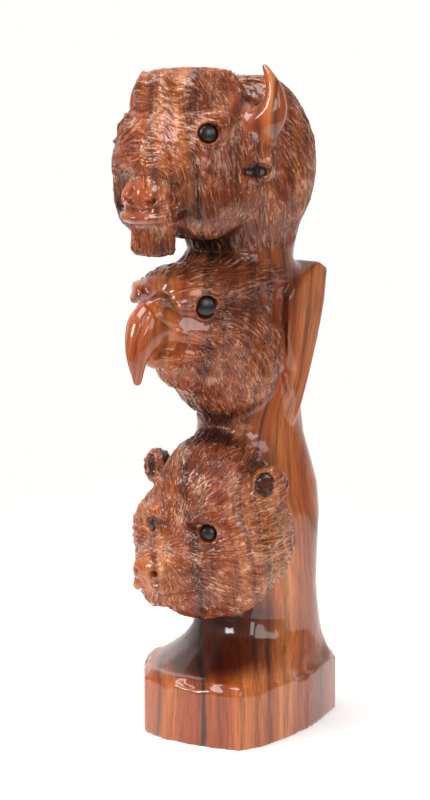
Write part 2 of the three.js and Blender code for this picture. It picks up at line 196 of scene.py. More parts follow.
eagle = {
    "name": "eagle",
    "zone": (132, 236),
    "forms": [
        ((0, -24, 189), (27, 28, 23), 1, {}),
        ((0, -13, 172), (28.5, 22, 28), 8, {}),
        ((0, -42, 191), (19, 18, 16), 7, {}),
        ((0, -27, 207.6), (24.5, 30, 10.6), 4, {"square": 2.3}),
        ((14, -46, 203.5), (8.5, 15, 4.6), 3, {"tilt": 8, "far": (-12.4, -45, 204)}),
        ((0, -54.5, 177.4), (8.2, 11.5, 5.2), 3, {}),
        ((0, -42, 171.5), (10, 13, 9), 5, {}),
        ((0, -28.5, 172), (17, 17, 14.5), 7, {}),
    ],
    "beakPath": [(0, -42, 193), (0, -55.5, 194.5), (0, -64.8, 190.8), (0, -71.6, 181), (0, -72, 169)],
    "beakRadii": [12, 12.4, 10.8, 5.9, 2.3],
    "beakWide": 0.8,
    "hollows": [],
    "dents": [((15.5, -52, 194.6), (9.5, 10, 8.6), 1.8), ((9, -62, 188), (7, 12, 13), 0.5)],
    "bare": [             # the skin by the eye, the lower bill, the brow and the groove before the wing
        ((14, -54, 193), (11, 13, 11)), ((0, -56, 179.4), (18.6, 17, 6)), ((0, -62, 208), (27, 17, 5.4)),
        ((24, 2, 186), (4, 8.4, 30)),
    ],
    "lines": [
        ([(2.6, -66, 200), (3.2, -71, 194), (3.2, -75.5, 185), (2.4, -76, 176), (1.4, -74, 168)], 1.5, 0.9),
        ([(4, -65, 206), (11, -59, 206.6), (17, -53, 207.6), (23, -46, 208.4), (27, -38, 208.4)], 4.0, -2.8),
        ([(3, -66, 211), (11, -58, 211.6), (18, -50, 212), (24, -42, 212.4)], 2.0, 1.3),
        ([(4, -65, 202), (9, -59.5, 201.5), (14, -55, 202.4)], 2.4, 1.6),
        ([(0.5, -67, 203), (5, -67, 200), (7.5, -66, 196.5), (9.5, -61.5, 193), (13, -57, 191)], 1.5, 1.1),
        ([(6, -66, 180.5), (9, -60, 181.8), (13, -53, 183.2), (17, -46, 182), (21, -40, 178.5)], 1.7, 2.2),
        ([(4, -65, 178.8), (8, -59.5, 178.8), (12, -53, 178.6), (17, -45, 178.8)], 3.4, -2.6),
        ([(3, -66, 175.6), (8, -59, 173.8), (13, -50, 173.8), (19, -42, 176)], 1.4, 1.4),
        ([(14, -53, 190), (18, -46.5, 186.8), (22.5, -38, 183)], 1.6, 1.0),
        ([(13, -55, 187), (17.5, -47.5, 184.4), (22, -39.5, 181)], 1.5, 0.9),
        ([(22, -9, 214), (25, -8, 200), (25.6, -6.5, 187), (26, -2.5, 172), (25, 4, 159),
          (22, 8, 150)], 2.8, -1.7),
        ([(23.5, -2, 207), (24, -1.4, 196), (24.4, 0, 184), (24.6, 3.5, 170), (23.6, 7.5, 160)], 4.6, 2.8),
    ],
}

bear = {
    "name": "bear",
    "zone": (50, 154),
    "forms": [
        ((0, -15, 91), (37, 29, 33), 1, {}),
        ((0, -24, 113), (26, 19, 18), 7, {}),
        ((21.5, -27, 93), (16, 16, 19), 7, {"far": (-22.4, -27, 92)}),
        ((18, -27, 77), (16, 18, 18), 7, {}),
        ((0, -43, 83), (19, 18, 15), 7, {}),
        ((12.5, -42, 104), (8.5, 7, 5.5), 5, {}),
        ((0, -28, 68), (22, 20, 14.2), 6, {}),
        ((0, -21, 123), (21, 17, 15), 4, {}),
        ((0, -50, 82), (16.5, 14.5, 11.5), 5, {}),
        ((0, -62.6, 82.6), (9.4, 6.4, 6.4), 2, {"square": 2.4}),
        ((5, -58, 75.6), (7, 9, 5.6), 2.5, {}),
        ((0, -53, 69.4), (9, 11, 5.6), 3, {}),
        ((33.2, -20.4, 118.4), (8.6, 7, 9.4), 7, {"turn": 26, "single": True}),
        ((-34, -19.6, 118.6), (8, 6.6, 9), 5, {"turn": -26, "single": True}),
    ],
    "hollows": [
        ((35.4, -27.6, 121), (3.6, 7.6, 4.4), 1.2, {"turn": 26, "single": True}),
        ((33.8, -28.4, 118), (2.8, 6.6, 4.4), 1.2, {"turn": 26, "single": True}),
        ((-36.4, -26.4, 120), (4, 5.4, 4.8), 0.8, {"turn": -26, "single": True}),
    ],
    "dents": [((5.2, -68, 82), (2.6, 4, 2.2), 5.5)],   # nostrils
    "bare": [((0, -68, 80), (9.5, 6, 8.5))],
    "lines": [
        ([(0, -41.5, 118), (0, -46, 111), (0, -52, 103), (0, -58.5, 94)], 2.6, 0.9),
        ([(8.5, -52.5, 97.4), (12, -49, 98.4)], 1.5, 0.9),
        ([(10, -50, 103), (15, -47.6, 105), (21, -43, 103.6)], 3.0, -0.9),
        ([(0, -66.5, 73.6), (4, -66, 72.6), (8, -62.5, 71.6), (13, -55.5, 70.8), (18, -49, 71)], 1.4, 1.7),
        ([(0, -69, 80), (0, -68.4, 75)], 1.2, 1.2),
        ([(9.2, -63, 86.5), (9.8, -62, 82), (7.8, -64, 78.4), (2, -67.5, 78)], 1.5, 1.1),
    ],
}

heads = [bison, eagle, bear]


def outsideHorns(p):
    near = outsideTube(p, bison["hornPath"], bison["hornRadii"])
    return np.minimum(near, outsideTube(p, bison["farHornPath"], bison["hornRadii"]))


def outsideBeak(p):
    return outsideTube(p, eagle["beakPath"], eagle["beakRadii"], eagle["beakWide"])


def outsideHead(p, head):
    d = np.full(len(p), 1e3)
    for form in head["forms"]:
        d = softMin(d, outsideForm(p, form), form[2])
    if head is bison:
        sawn = np.where(p[:, 1] > skin["sawnFromY"], skin["sawnTop"] - p[:, 2], 50)
        d = softCut(d, sawn, 1.2)
    for cut in head["hollows"]:
        d = softCut(d, outsideForm(p, cut), cut[2])
    if head is bison:
        d = softMin(d, outsideHorns(p), 3)
    if head is eagle:
        d = softMin(d, outsideBeak(p), 2)
    return d


def outsideHeads(p):
    d = np.full(len(p), 1e3)
    for head in heads:
        near = (p[:, 2] > head["zone"][0]) & (p[:, 2] < head["zone"][1])
        if near.any():
            d[near] = np.minimum(d[near], outsideHead(p[near], head))
    return d


column = {
    # height, centre y, half width, half depth, squareness, share of the base outline in the flare
    "rows": [
        (26, 11, 26, 28, 2.6, 0.97), (30, 11, 26, 28, 2.6, 0.88), (33.5, 11, 26, 28, 2.6, 0.62),
        (38, 11.5, 26, 28, 2.6, 0.33), (44, 12, 26, 28, 2.6, 0.12), (52, 11.5, 26.4, 27.4, 2.6, 0.02),
        (64, 10.5, 26.8, 26.4, 2.6, 0), (80, 10.5, 27.4, 26.2, 2.6, 0), (98, 11, 28, 26.2, 2.6, 0),
        (112, 10, 27.4, 25.8, 2.6, 0), (124, 8, 25.6, 24.2, 2.6, 0), (136, 6.3, 23.2, 22.4, 2.6, 0),
        (150, 5.6, 21.8, 21.6, 2.7, 0), (170, 7, 22.4, 22.5, 3, 0), (192, 8, 23.8, 23.6, 3.2, 0),
        (208, 4, 24, 25, 3, 0), (217, -0.5, 21.8, 22.4, 2.6, 0), (246, -0.5, 21.8, 21.8, 2.6, 0),
    ],
    "sides": 72,
    "rise": 4.0,          # height of one ring of faces
    "flareInset": 2.6,
    "leanOut": 0.3,       # the flare runs wider on the right than on the left
    "blend": 1.5,         # how softly the heads run into the column, and where more so
    "bearBlend": 8,
    "bisonBlend": 9,
    "hollows": [          # shallow gouged valleys: centre, radii, depth
        ((25, -12, 52), (9, 12, 15), 2.2), ((22, -14, 146), (8, 10, 12), 1.2),
        ((-25, -10, 54), (9, 12, 15), 1.8), ((6, 38, 48), (16, 9, 12), 1.6),
    ],
}


def outsideColumn(p):
    rows = np.array(column["rows"], float)
    cy, hx, hy, square = [np.interp(p[:, 2], rows[:, 0], rows[:, k]) for k in (1, 2, 3, 4)]
    a = np.abs(p[:, 0] / hx) ** square + np.abs((p[:, 1] - cy) / hy) ** square
    return np.maximum((a ** (1 / square) - 1) * np.minimum(hx, hy), p[:, 2] - rows[-1, 0])


wing = {
    "outerX": 28.2,
    "innerX": 12.0,
    "taper": 0.28,        # share by which it narrows over this height, going down
    "taperTop": 214,
    "taperHeight": 76.0,
    "backEdgeIn": 2.2,    # the outer face runs in by this much towards the back
    "backEdgeFrom": 14,
    "backEdgeRun": 19,
    "outline": [
        (1.5, 201), (5, 206), (24, 215.6), (31.8, 212), (30.6, 196), (26.2, 178), (20.4, 162),
        (14.5, 148), (9.5, 140), (4.5, 146), (2, 162), (0.5, 184),
    ],
    "edgeRound": 1.7,
}


def wingReach(y, z):  # how far out from the middle the wing's outer face lies
    low = np.clip((wing["taperTop"] - z) / wing["taperHeight"], 0, 1)
    back = np.clip((y - wing["backEdgeFrom"]) / wing["backEdgeRun"], 0, 1)
    reach = wing["innerX"] + (wing["outerX"] - wing["innerX"]) * (1 - wing["taper"] * low)
    return reach - wing["backEdgeIn"] * back


def outsideWings(p):
    pts = np.array(wing["outline"], float)
    y, z = p[:, 1], p[:, 2]
    d = np.full(len(p), 1e3)
    inside = np.zeros(len(p), bool)
    for (ay, az), (by, bz) in zip(pts, np.roll(pts, -1, 0)):
        ey, ez = by - ay, bz - az
        t = np.clip(((y - ay) * ey + (z - az) * ez) / (ey * ey + ez * ez), 0, 1)
        d = np.minimum(d, np.hypot(y - ay - t * ey, z - az - t * ez))
        inside ^= ((az > z) != (bz > z)) & (y < (by - ay) * (z - az) / (bz - az + 1e-12) + ay)
    return np.maximum(np.where(inside, -d, d), np.abs(p[:, 0]) - wingReach(y, z))


# The blank: eggs, column, base and wings, joined into one skin.
def addEggs(bm, form):
    at, radii, _, extra = form
    twins = [(at, 1)]
    if at[0] and not extra.get("single"):
        twins.append((extra.get("far", (-at[0], at[1], at[2])), -1))
    for centre, side in twins:
        turn = Matrix.Rotation(math.radians(extra.get("turn", 0)) * side, 4, "Z")
        tilt = Matrix.Rotation(math.radians(extra.get("tilt", 0)), 4, "X")
        place = Matrix.Translation(centre) @ turn @ tilt @ Matrix.Diagonal((*radii, 1))
        bmesh.ops.create_icosphere(bm, subdivisions=4, radius=1, matrix=place)


def addTube(bm, path, radii, wide=1.0):
    line = curvePoints(path, 48)
    thick = np.interp(np.linspace(0, 1, 48), np.linspace(0, 1, len(radii)), radii)
    for centre, radius in zip(line, thick):
        place = Matrix.Translation(centre) @ Matrix.Diagonal((wide, 1, 1, 1))
        bmesh.ops.create_icosphere(bm, subdivisions=2, radius=radius, matrix=place)


base = {
    "height": 27.5,
    "chamferRise": 3.0,
    "chamferRun": 3.6,
    "swell": 1.008,
    "outline": [
        (37.4, -32), (33.7, -42), (22, -46.6), (9, -49.3), (-4, -50.6), (-17.4, -48.2), (-31.5, -33.5),
        (-42.5, -18), (-43.5, 8), (-42, 30), (-34, 40), (-20, 45), (4, 47), (19, 44.8), (26.2, 38.6),
        (32.4, 20), (36.4, 5), (38.4, -14),
    ],
    "rimNicks": 46,       # knife facets round the top edge
    "nickDepth": 1.1,
}


def outlineReach(cy, dx, dy):  # from (0, cy) out to the base outline along (dx, dy)
    reach = np.zeros(np.shape(dx))
    pts = base["outline"]
    for (ax, ay), (bx, by) in zip(pts, pts[1:] + pts[:1]):
        det = dx * (by - ay) - dy * (bx - ax)
        det = np.where(np.abs(det) < 1e-9, 1e-9, det)
        along = (ax * (by - ay) - (ay - cy) * (bx - ax)) / det
        share = (ax * dy - (ay - cy) * dx) / det
        reach = np.where((along > 0) & (share >= 0) & (share <= 1), np.maximum(reach, along), reach)
    return reach


def columnRing(angle, row):
    _, cy, halfX, halfY, square, flare = row
    ux, uy = np.cos(angle), np.sin(angle)
    k = 1 / (np.abs(ux) ** square + np.abs(uy) ** square) ** (1 / square)
    x, y = ux * k * halfX, uy * k * halfY
    far = np.hypot(x, y)
    dx, dy = x / far, y / far
    if flare:
        share = np.clip(flare * (1 + column["leanOut"] * (1 - flare) * (dx * 0.77 + dy * 0.64)), 0, 1)
        far = far + (outlineReach(cy, dx, dy) - column["flareInset"] - far) * share
    return dx * far, dy * far + cy


def addColumn(bm):
    rows = np.array(column["rows"], float)
    angles = np.linspace(0, 2 * math.pi, column["sides"], endpoint=False)
    levels = np.unique(np.concatenate([rows[:, 0], np.arange(rows[0, 0], rows[-1, 0], column["rise"])]))
    bmesh.ops.create_circle(bm, segments=column["sides"], radius=1, cap_ends=True)
    bm.faces.ensure_lookup_table()
    face = bm.faces[0]
    for i, level in enumerate(levels):
        if i:
            grown = bmesh.ops.extrude_face_region(bm, geom=[face])["geom"]
            face = [g for g in grown if isinstance(g, bmesh.types.BMFace)][0]
        row = [np.interp(level, rows[:, 0], rows[:, k]) for k in range(6)]
        for v, x, y in zip(face.verts, *columnRing(angles, row)):
            v.co = (x, y, level)


def addBase(bm):
    ring = [bm.verts.new((x * base["swell"], y * base["swell"], 0)) for x, y in base["outline"]]
    face = bm.faces.new(ring)
    for rise, run in ((base["height"] - 0.6, 0), (base["chamferRise"], base["chamferRun"])):
        grown = bmesh.ops.extrude_face_region(bm, geom=[face])["geom"]
        face = [g for g in grown if isinstance(g, bmesh.types.BMFace)][0]
        bmesh.ops.translate(bm, verts=face.verts, vec=(0, 0, rise))
        for v in face.verts:
            v.co -= Vector((v.co.x + 2, v.co.y + 2, 0)).normalized() * run


def addWing(bm, side):
    face = bm.faces.new([bm.verts.new((wing["innerX"] * side, y, z)) for y, z in wing["outline"]])
    grown = bmesh.ops.extrude_face_region(bm, geom=[face])["geom"]
    outer = [g for g in grown if isinstance(g, bmesh.types.BMFace)][0]
    for v in outer.verts:
        v.co.x = wingReach(v.co.y, v.co.z) * side
    bmesh.ops.bevel(bm, geom=list(outer.edges), offset=wing["edgeRound"], affect="EDGES", segments=3,
                    profile=0.5, material=-1)


def joined(bm, build, *args):
    part = bmesh.new()
    build(part, *args)
    bmesh.ops.recalc_face_normals(part, faces=part.faces)
    spare = bpy.data.meshes.new("spare")
    part.to_mesh(spare)
    part.free()
    bm.from_mesh(spare)
    bpy.data.meshes.remove(spare)


def placed(bm, name):
    mesh = bpy.data.meshes.new(name)
    bm.to_mesh(mesh)
    bm.free()
    piece = bpy.data.objects.new(name, mesh)
    bpy.context.scene.collection.objects.link(piece)
    return piece


def carvingBlank():
    bm = bmesh.new()
    joined(bm, addBase)
    joined(bm, addColumn)
    joined(bm, addWing, 1)
    joined(bm, addWing, -1)
    for head in heads:
        for form in head["forms"]:
            addEggs(bm, form)
    addTube(bm, bison["hornPath"], bison["hornRadii"])
    addTube(bm, bison["farHornPath"], bison["hornRadii"])
    addTube(bm, eagle["beakPath"], eagle["beakRadii"], eagle["beakWide"])
    return placed(bm, "ironwoodCarving")


def applyModifier(piece, kind, **settings):
    modifier = piece.modifiers.new(kind, kind)
    for key, value in settings.items():
        setattr(modifier, key, value)
    graph = bpy.context.evaluated_depsgraph_get()
    made = bpy.data.meshes.new_from_object(piece.evaluated_get(graph))
    old = piece.data
    piece.modifiers.clear()
    piece.data = made
    bpy.data.meshes.remove(old)


def readPoints(mesh):
    co = np.empty(len(mesh.vertices) * 3)
    mesh.vertices.foreach_get("co", co)
    return co.reshape(-1, 3)


def writePoints(mesh, co):
    mesh.vertices.foreach_set("co", co.ravel())
    mesh.update()


def readNormals(mesh):
    out = np.empty(len(mesh.vertices) * 3, dtype=np.float32)
    mesh.vertex_normals.foreach_get("vector", out)
    return out.reshape(-1, 3).astype(float)


def readEdges(mesh):
    pairs = np.empty(len(mesh.edges) * 2, dtype=np.int32)
    mesh.edges.foreach_get("vertices", pairs)
    return pairs.reshape(-1, 2)


def neighbourMean(values, pairs):
    count = np.bincount(pairs.ravel(), minlength=len(values))
    total = np.empty_like(values)
    for k in range(values.shape[1]):
        total[:, k] = np.bincount(pairs[:, 0], values[pairs[:, 1], k], len(values))
        total[:, k] += np.bincount(pairs[:, 1], values[pairs[:, 0], k], len(values))
    return total / np.maximum(count, 1)[:, None]


def outsidePole(p):  # heads flow into the column above, and overhang it crisply below
    z = p[:, 2]
    soft = column["blend"] + column["bearBlend"] * ramp(z, 112, 122) * (1 - ramp(z, 142, 150))
    soft = soft + column["bisonBlend"] * ramp(z, 203, 210) * (1 - ramp(z, 216, 240) * 0.6)
    return softMin(outsideHeads(p), outsideColumn(p), soft)


def seatOnForms(co, rounds):  # draws the skin onto the smooth forms, clear of the foot and the wings
    foot = skin["footTop"]
    for _ in range(rounds):
        free = np.minimum(ramp(outsideWings(co), 0.3, 1.6), ramp(co[:, 2], foot, foot + 4))
        sel = free > 0
        p = co[sel]
        d = outsidePole(p)
        slope = np.empty_like(p)
        for axis in range(3):
            step = np.zeros(3)
            step[axis] = 0.1
            slope[:, axis] = (outsidePole(p + step) - d) / 0.1
        move = -slope * (d / np.maximum((slope ** 2).sum(1), 0.2))[:, None]
        length = np.linalg.norm(move, axis=1)
        move *= (np.minimum(length, 1.5) / np.maximum(length, 1e-9))[:, None]
        co[sel] = p + move * free[sel][:, None]
    return co


print("blank: forms, column, base and wings")
pole = carvingBlank()
applyModifier(pole, "REMESH", mode="VOXEL", voxel_size=skin["roughVoxel"], adaptivity=0)
writePoints(pole.data, seatOnForms(readPoints(pole.data), 3))
applyModifier(pole, "REMESH", mode="VOXEL", voxel_size=skin["voxel"], adaptivity=0)
pairs = readEdges(pole.data)
co = readPoints(pole.data)
for _ in range(3):   # relaxes the steps of the voxel grid
    co += (neighbourMean(co, pairs) - co) * 0.6
co = seatOnForms(co, 3)
for _ in range(2):   # softens the creases between the forms
    co += (neighbourMean(co, pairs) - co) * 0.35
writePoints(pole.data, co)
print("skin:", len(co), "points")


# Lines, rolls and hollows cut into the skin.
def treeOf(points):
    tree = kdtree.KDTree(len(points))
    for i, point in enumerate(points):
        tree.insert(point, i)
    tree.balance()
    return tree


def nearestOf(tree, points):
    found = [tree.find(point) for point in points]
    return np.array([f[1] for f in found]), np.array([f[2] for f in found])


def bothWays(path):
    if max(abs(x) for x, _, _ in path) < 0.1:
        return [path]
    return [path, [(-x, y, z) for x, y, z in path]]


def cutLines(co, normals, lines, tree):
    for path, width, depth in lines:
        for way in bothWays(path):
            raw = curvePoints(way, 90)
            seat, _ = nearestOf(tree, raw)
            line = co[seat]
            for _ in range(6):
                line[1:-1] = (line[:-2] + line[1:-1] * 2 + line[2:]) / 4
            low, high = line.min(0) - width, line.max(0) + width
            near = np.where(((co > low) & (co < high)).all(1))[0]
            gap = np.full(len(near), 1e3)
            step = np.zeros(len(near), int)
            for i, point in enumerate(line):
                d = np.linalg.norm(co[near] - point, axis=1)
                closer = d < gap
                gap[closer] = d[closer]
                step[closer] = i
            share = np.clip(1 - gap / width, 0, 1)
            profile = share * share * (3 - 2 * share)
            ends = np.minimum(1, np.minimum(step, 89 - step) / 18 + 0.15)
            co[near] -= normals[near] * (profile * depth * ends)[:, None]
    return co


def pressHollow(co, normals, at, radii, depth):
    t = np.linalg.norm((co - np.array(at, float)) / np.array(radii, float), axis=1)
    return co - normals * (depth * np.clip(1 - t * t, 0, 1) ** 2)[:, None]


def nickRim(co, normals):
    angles = np.sort(rng.uniform(0, 2 * math.pi, base["rimNicks"]))
    for angle in angles:
        reach = float(outlineReach(0, math.cos(angle), math.sin(angle))) * base["swell"] - 1.4
        at = (math.cos(angle) * reach, math.sin(angle) * reach, base["height"] + rng.uniform(-1.6, 1.2))
        co = pressHollow(co, normals, at, rng.uniform((4, 4, 1.6), (8, 8, 3.6)),
                         base["nickDepth"] * rng.uniform(0.3, 1))
    return co


eyes = {
    # a point on the skin, the way the eye looks, radius of the bead; the left one is at +X
    "bison": ((25, -53.4, 277), (0.7, -0.7, 0.06), 4.0),
    "eagle": ((19.8, -48.2, 201), (0.74, -0.66, 0), 4.5),
    "bear": ((17, -44.2, 98.4), (0.45, -0.88, 0.1), 3.6),
    "sink": 2.0,          # the bead's widest ring lies this far below the skin
    "dome": 1.9,
    "gap": 0.35,          # open ring round the bead
    "lid": 0.6,           # rolled edge of the socket
}


def sinkSocket(co, at, look, radius):  # returns the skin and the bead's centre
    axis = np.array(look, float) / np.linalg.norm(look)
    off = co - np.array(at, float)
    along = off @ axis
    across = np.linalg.norm(off - along[:, None] * axis, axis=1)
    near = np.abs(along) < 9
    level = np.median(along[near & (across > radius + 0.5) & (across < radius + 1.5)])
    rolled = np.clip(1 - np.abs(across - radius - 1.5) / 1.4, 0, 1)
    lid = rolled ** 2 * (3 - 2 * rolled)
    inside = 1 - ramp(across, radius + eyes["gap"] - 0.2, radius + eyes["gap"] + 0.35)
    move = (level - eyes["sink"] - 1.2 - along) * inside + eyes["lid"] * lid
    return co + axis * (move * near)[:, None], np.array(at, float) + axis * (level - eyes["sink"])


print("features: lines, rolls, hollows")
normals = readNormals(pole.data)
tree = treeOf(co)
for head in heads:
    co = cutLines(co, normals, head["lines"], tree)
sockets = []
for head in heads:
    at, look, radius = eyes[head["name"]]
    for side, hand in ((1, "left"), (-1, "right")):
        lookAlong = (look[0] * side, look[1], look[2])
        co, seat = sinkSocket(co, (at[0] * side, at[1], at[2]), lookAlong, radius)
        sockets.append((head["name"], hand, seat, lookAlong, radius))
for at, radii, depth in column["hollows"]:
    co = pressHollow(co, normals, at, radii, depth)
for at, radii, depth in bison["dents"] + eagle["dents"] + bear["dents"]:
    for side in (1, -1):
        co = pressHollow(co, normals, (at[0] * side, at[1], at[2]), radii, depth)
co = nickRim(co, normals)
co += (neighbourMean(co, pairs) - co) * 0.4   # the sanding after the cuts
writePoints(pole.data, co)

# Fur and feathers: tapered strokes of a small gouge, laid out along the way the coat lies.
strokes = {
    # spacing, length and depth of the cuts in mm, for the bison, the eagle and the bear
    "spacing": (1.3, 1.35, 1.25),
    "length": (13.0, 12.0, 10.0),
    "depth": (0.95, 1.0, 0.95),
    # what some places add to the spacing, the length and the depth
    "mop": (0.35, 0, 0.25),
    "mane": (0.4, 6, 0),
    "crown": (0.8, 7, 0.35),
    "ruff": (0.6, 0, 0.5),
    "lockScale": 2.8,     # broad locks are pressed first, and the hairs over them
    "lockTries": 9000,
    "hairTries": 60000,
    "step": 0.7,
    "jitter": 0.15,       # how much neighbours fan apart, in radians
    "finest": 0.26,       # sampling of the finished strokes
    "startCover": 0.35,   # share of hair where a stroke may start, and where it has to end
    "endCover": 0.25,
    "startRoom": 0.75,    # share of the spacing kept free where it starts, and along it
    "sideRoom": 0.5,
}


def inEgg(p, at, radii, soft=0.25):  # 1 inside, 0 outside, on both sides
    d = np.stack([np.abs(p[:, 0]) - abs(at[0]) if at[0] else p[:, 0], p[:, 1] - at[1], p[:, 2] - at[2]], 1)
    t = np.linalg.norm(d / np.array(radii, float), axis=1)
    return 1 - ramp(t, 1 - soft, 1 + soft)


def furCover(p):  # where hair or feathers are cut: 0 bare to 1, and the index of the head
    body = np.minimum(outsideColumn(p), outsideWings(p))
    cover = np.zeros(len(p))
    owner = np.full(len(p), -1)
    for k, head in enumerate(heads):
        low, high = head["zone"]
        eyeAt, _, eyeRadius = eyes[head["name"]]
        near = np.where((p[:, 2] > max(low, skin["footTop"])) & (p[:, 2] < high))[0]
        q = p[near]
        c = ramp(body[near], 0.2, 1.2) * (1 - ramp(np.abs(outsideHead(q, head)), 3, 5))
        c *= 1 - inEgg(q, eyeAt, (eyeRadius + 1.2,) * 3, 0.15)
        if head is bison:
            c *= ramp(outsideHorns(q), 0.8, 2.4)
        if head is eagle:
            c *= ramp(outsideBeak(q), 0.5, 1.6)
        for at, radii in head["bare"]:
            c *= 1 - inEgg(q, at, radii)
        if head is bison:
            c *= ramp(q[:, 2], 214, 218)   # the neck is smooth
            c = np.maximum(c, inEgg(q, (0, -64, 230), (12, 8, 7)) * 0.8)   # the beard
        grown = c > cover[near]
        cover[near] = np.where(grown, c, cover[near])
        owner[near] = np.where(grown, k, owner[near])
    return cover, owner


def bisonFlow(p):
    x, y, z = p.T
    side = np.tanh(x / 2.5)
    wave = np.sin(np.abs(x) * 0.42 + z * 0.16) + 0.5 * np.sin(z * 0.11 + y * 0.2)
    mop = ramp(-y, 34, 46) * ramp(z, 256, 264) * (1 - ramp(np.abs(x) - (z - 266) * 0.5, 19, 25))
    mop = np.maximum(mop, ramp(z, 284, 292) * ramp(-y, 18, 30))[:, None]
    mane = ramp(y, -24, -14)[:, None]
    top = (ramp(z, 294, 299) * ramp(y, -20, -10))[:, None]
    down = np.stack([side * 0.12, 0.12 + 0 * x, -1 + 0 * x], 1)            # the cheeks
    out = np.stack([side, 0.1 * wave, -0.2 + 0.3 * wave], 1)               # the mop, in waves to both sides
    back = np.stack([side * 0.1, 0.62 - 0.5 * ramp(z, 262, 232), -0.8 + 0 * x], 1)
    over = np.stack([side * 0.55, 1 + 0 * x, 0 * x], 1)                    # over the sawn crown
    flow = down * (1 - mop) + out * mop
    flow = flow * (1 - mane) + back * mane
    return flow * (1 - top) + over * top


def eagleFlow(p):  # away from the bill, drooping towards the neck
    x, y, z = p.T
    fromBill = p - np.array((0, -66, 199))
    fromBill /= np.linalg.norm(fromBill, axis=1)[:, None]
    droop = ramp(y, -44, -6) * 0.9 + ramp(-z, -196, -165) * 0.9
    droop *= 1 - ramp(z, 200, 210)
    return fromBill + np.stack([0 * x, 0 * x, -droop], 1)


def bearFlow(p):  # away from the nose, and outwards over the brow
    x, _, z = p.T
    flow = p - np.array((0, -60, 90))
    flow[:, 2] += ramp(z, 98, 116) * 6
    flow[:, 0] += np.tanh(x / 2.5) * ramp(z, 100, 118) * 9
    return flow / (np.linalg.norm(flow, axis=1)[:, None] + 1e-9)


def furFlow(p, owner):  # the way the hair lies
    flow = np.zeros_like(p)
    for k, lay in enumerate((bisonFlow, eagleFlow, bearFlow)):
        flow[owner == k] = lay(p)[owner == k]
    return flow


def strokeSize(p, owner):  # spacing, length and depth of the cuts at each point
    _, y, z = p.T
    whose = owner.clip(0)
    spacing, length, depth = [np.choose(whose, strokes[key]) for key in ("spacing", "length", "depth")]
    places = {
        "mop": (owner == 0) * ramp(-y, 30, 44) * ramp(z, 258, 266),
        "mane": (owner == 0) * ramp(y, -24, -10),
        "crown": (owner == 1) * ramp(z, 200, 210),
        "ruff": (owner == 2) * ramp(y, -28, -18),
    }
    for name, share in places.items():
        wider, longer, deeper = strokes[name]
        spacing = spacing + wider * share
        length = length + longer * share
        depth = depth + deeper * share
    return spacing, length, depth


def tangent(vec, normal):
    vec = vec - normal * (vec @ normal)
    size = math.sqrt(vec @ vec)
    return vec / size if size > 1e-6 else None


def cutStrokes(co, normals, tree, scale, tries):
    cover, owner = furCover(co)
    flow = furFlow(co, owner)
    spacing, length, depth = strokeSize(co, owner)
    spacing, length = spacing * scale, length * (0.5 + 0.5 * scale)
    seeds = np.where(cover > strokes["startCover"])[0]
    seeds = seeds[rng.permutation(len(seeds))[:tries]]
    cell = 1.0
    taken = {}

    def crowded(p, reach):
        i, j, k = (p / cell).astype(int)
        span = int(reach / cell) + 1
        for a in range(i - span, i + span + 1):
            for b in range(j - span, j + span + 1):
                for c in range(k - span, k + span + 1):
                    for q in taken.get((a, b, c), ()):
                        if (q[0] - p[0]) ** 2 + (q[1] - p[1]) ** 2 + (q[2] - p[2]) ** 2 < reach * reach:
                            return True
        return False

    made = []
    for seed in seeds:
        room = spacing[seed]
        if crowded(co[seed], room * strokes["startRoom"]):
            continue
        goal = length[seed] * rng.uniform(0.6, 1.35)
        lean = rng.normal(0, strokes["jitter"])
        halves = []
        for way in (1, -1):
            p, v, walked, half = co[seed].copy(), seed, 0.0, []
            while walked < goal / 2:
                d = tangent(flow[v], normals[v])
                if d is None:
                    break
                d = d + np.cross(normals[v], d) * (lean * 0.6 + 0.4 * lean * walked / goal * way)
                p = p + d * (strokes["step"] * way / math.sqrt(d @ d))
                _, v, away = tree.find(p)
                if away > 1.5 or cover[v] < strokes["endCover"] or crowded(p, room * strokes["sideRoom"]):
                    break
                p = p - normals[v] * ((p - co[v]) @ normals[v])
                half.append(p)
                walked += strokes["step"]
            halves.append(half)
        run = halves[1][::-1] + [co[seed]] + halves[0]
        if len(run) * strokes["step"] < max(2.2, goal * 0.4):
            continue
        for p in run:
            taken.setdefault(tuple((p / cell).astype(int)), []).append(p)
        made.append((np.array(run), room, depth[seed] * rng.uniform(0.6, 1.25)))
    return made


def strokeSamples(made):  # points along the strokes, their widths, depths and directions
    points, widths, depths, ways = [], [], [], []
    for run, room, deep in made:
        steps = max(4, int(len(run) * strokes["step"] / strokes["finest"]))
        s = np.linspace(0, len(run) - 1, steps)
        line = np.stack([np.interp(s, np.arange(len(run)), run[:, k]) for k in range(3)], 1)
        t = np.linspace(0, 1, steps)
        taper = np.minimum(1, np.minimum(t / 0.22, (1 - t) / 0.4)) ** 0.8
        points.append(line)
        widths.append(np.full(steps, room) * (0.45 + 0.2 * taper))
        depths.append(deep * taper)
        ways.append(np.gradient(line, axis=0))
    ways = np.vstack(ways)
    ways /= np.linalg.norm(ways, axis=1)[:, None] + 1e-9
    return np.vstack(points), np.concatenate(widths), np.concatenate(depths), ways


# For each point in the coat: how far into the nearest cut it lies, and that cut's place, depth and direction.
def nearestStroke(co, made):
    samples, widths, depths, ways = strokeSamples(made)
    cover, _ = furCover(co)
    wanted = np.where(cover > 0.02)[0]
    which, gap = nearestOf(treeOf(samples), co[wanted])
    share = np.clip(1 - gap / widths[which], 0, 1)
    return wanted, cover, share, samples[which], depths[which], ways[which]


def pressStrokes(co, normals, made):
    wanted, cover, share, _, deep, _ = nearestStroke(co, made)
    sink = deep * (share - 0.3) * cover[wanted]   # the ridges between stand a little proud
    co[wanted] -= normals[wanted] * sink[:, None]
    return co


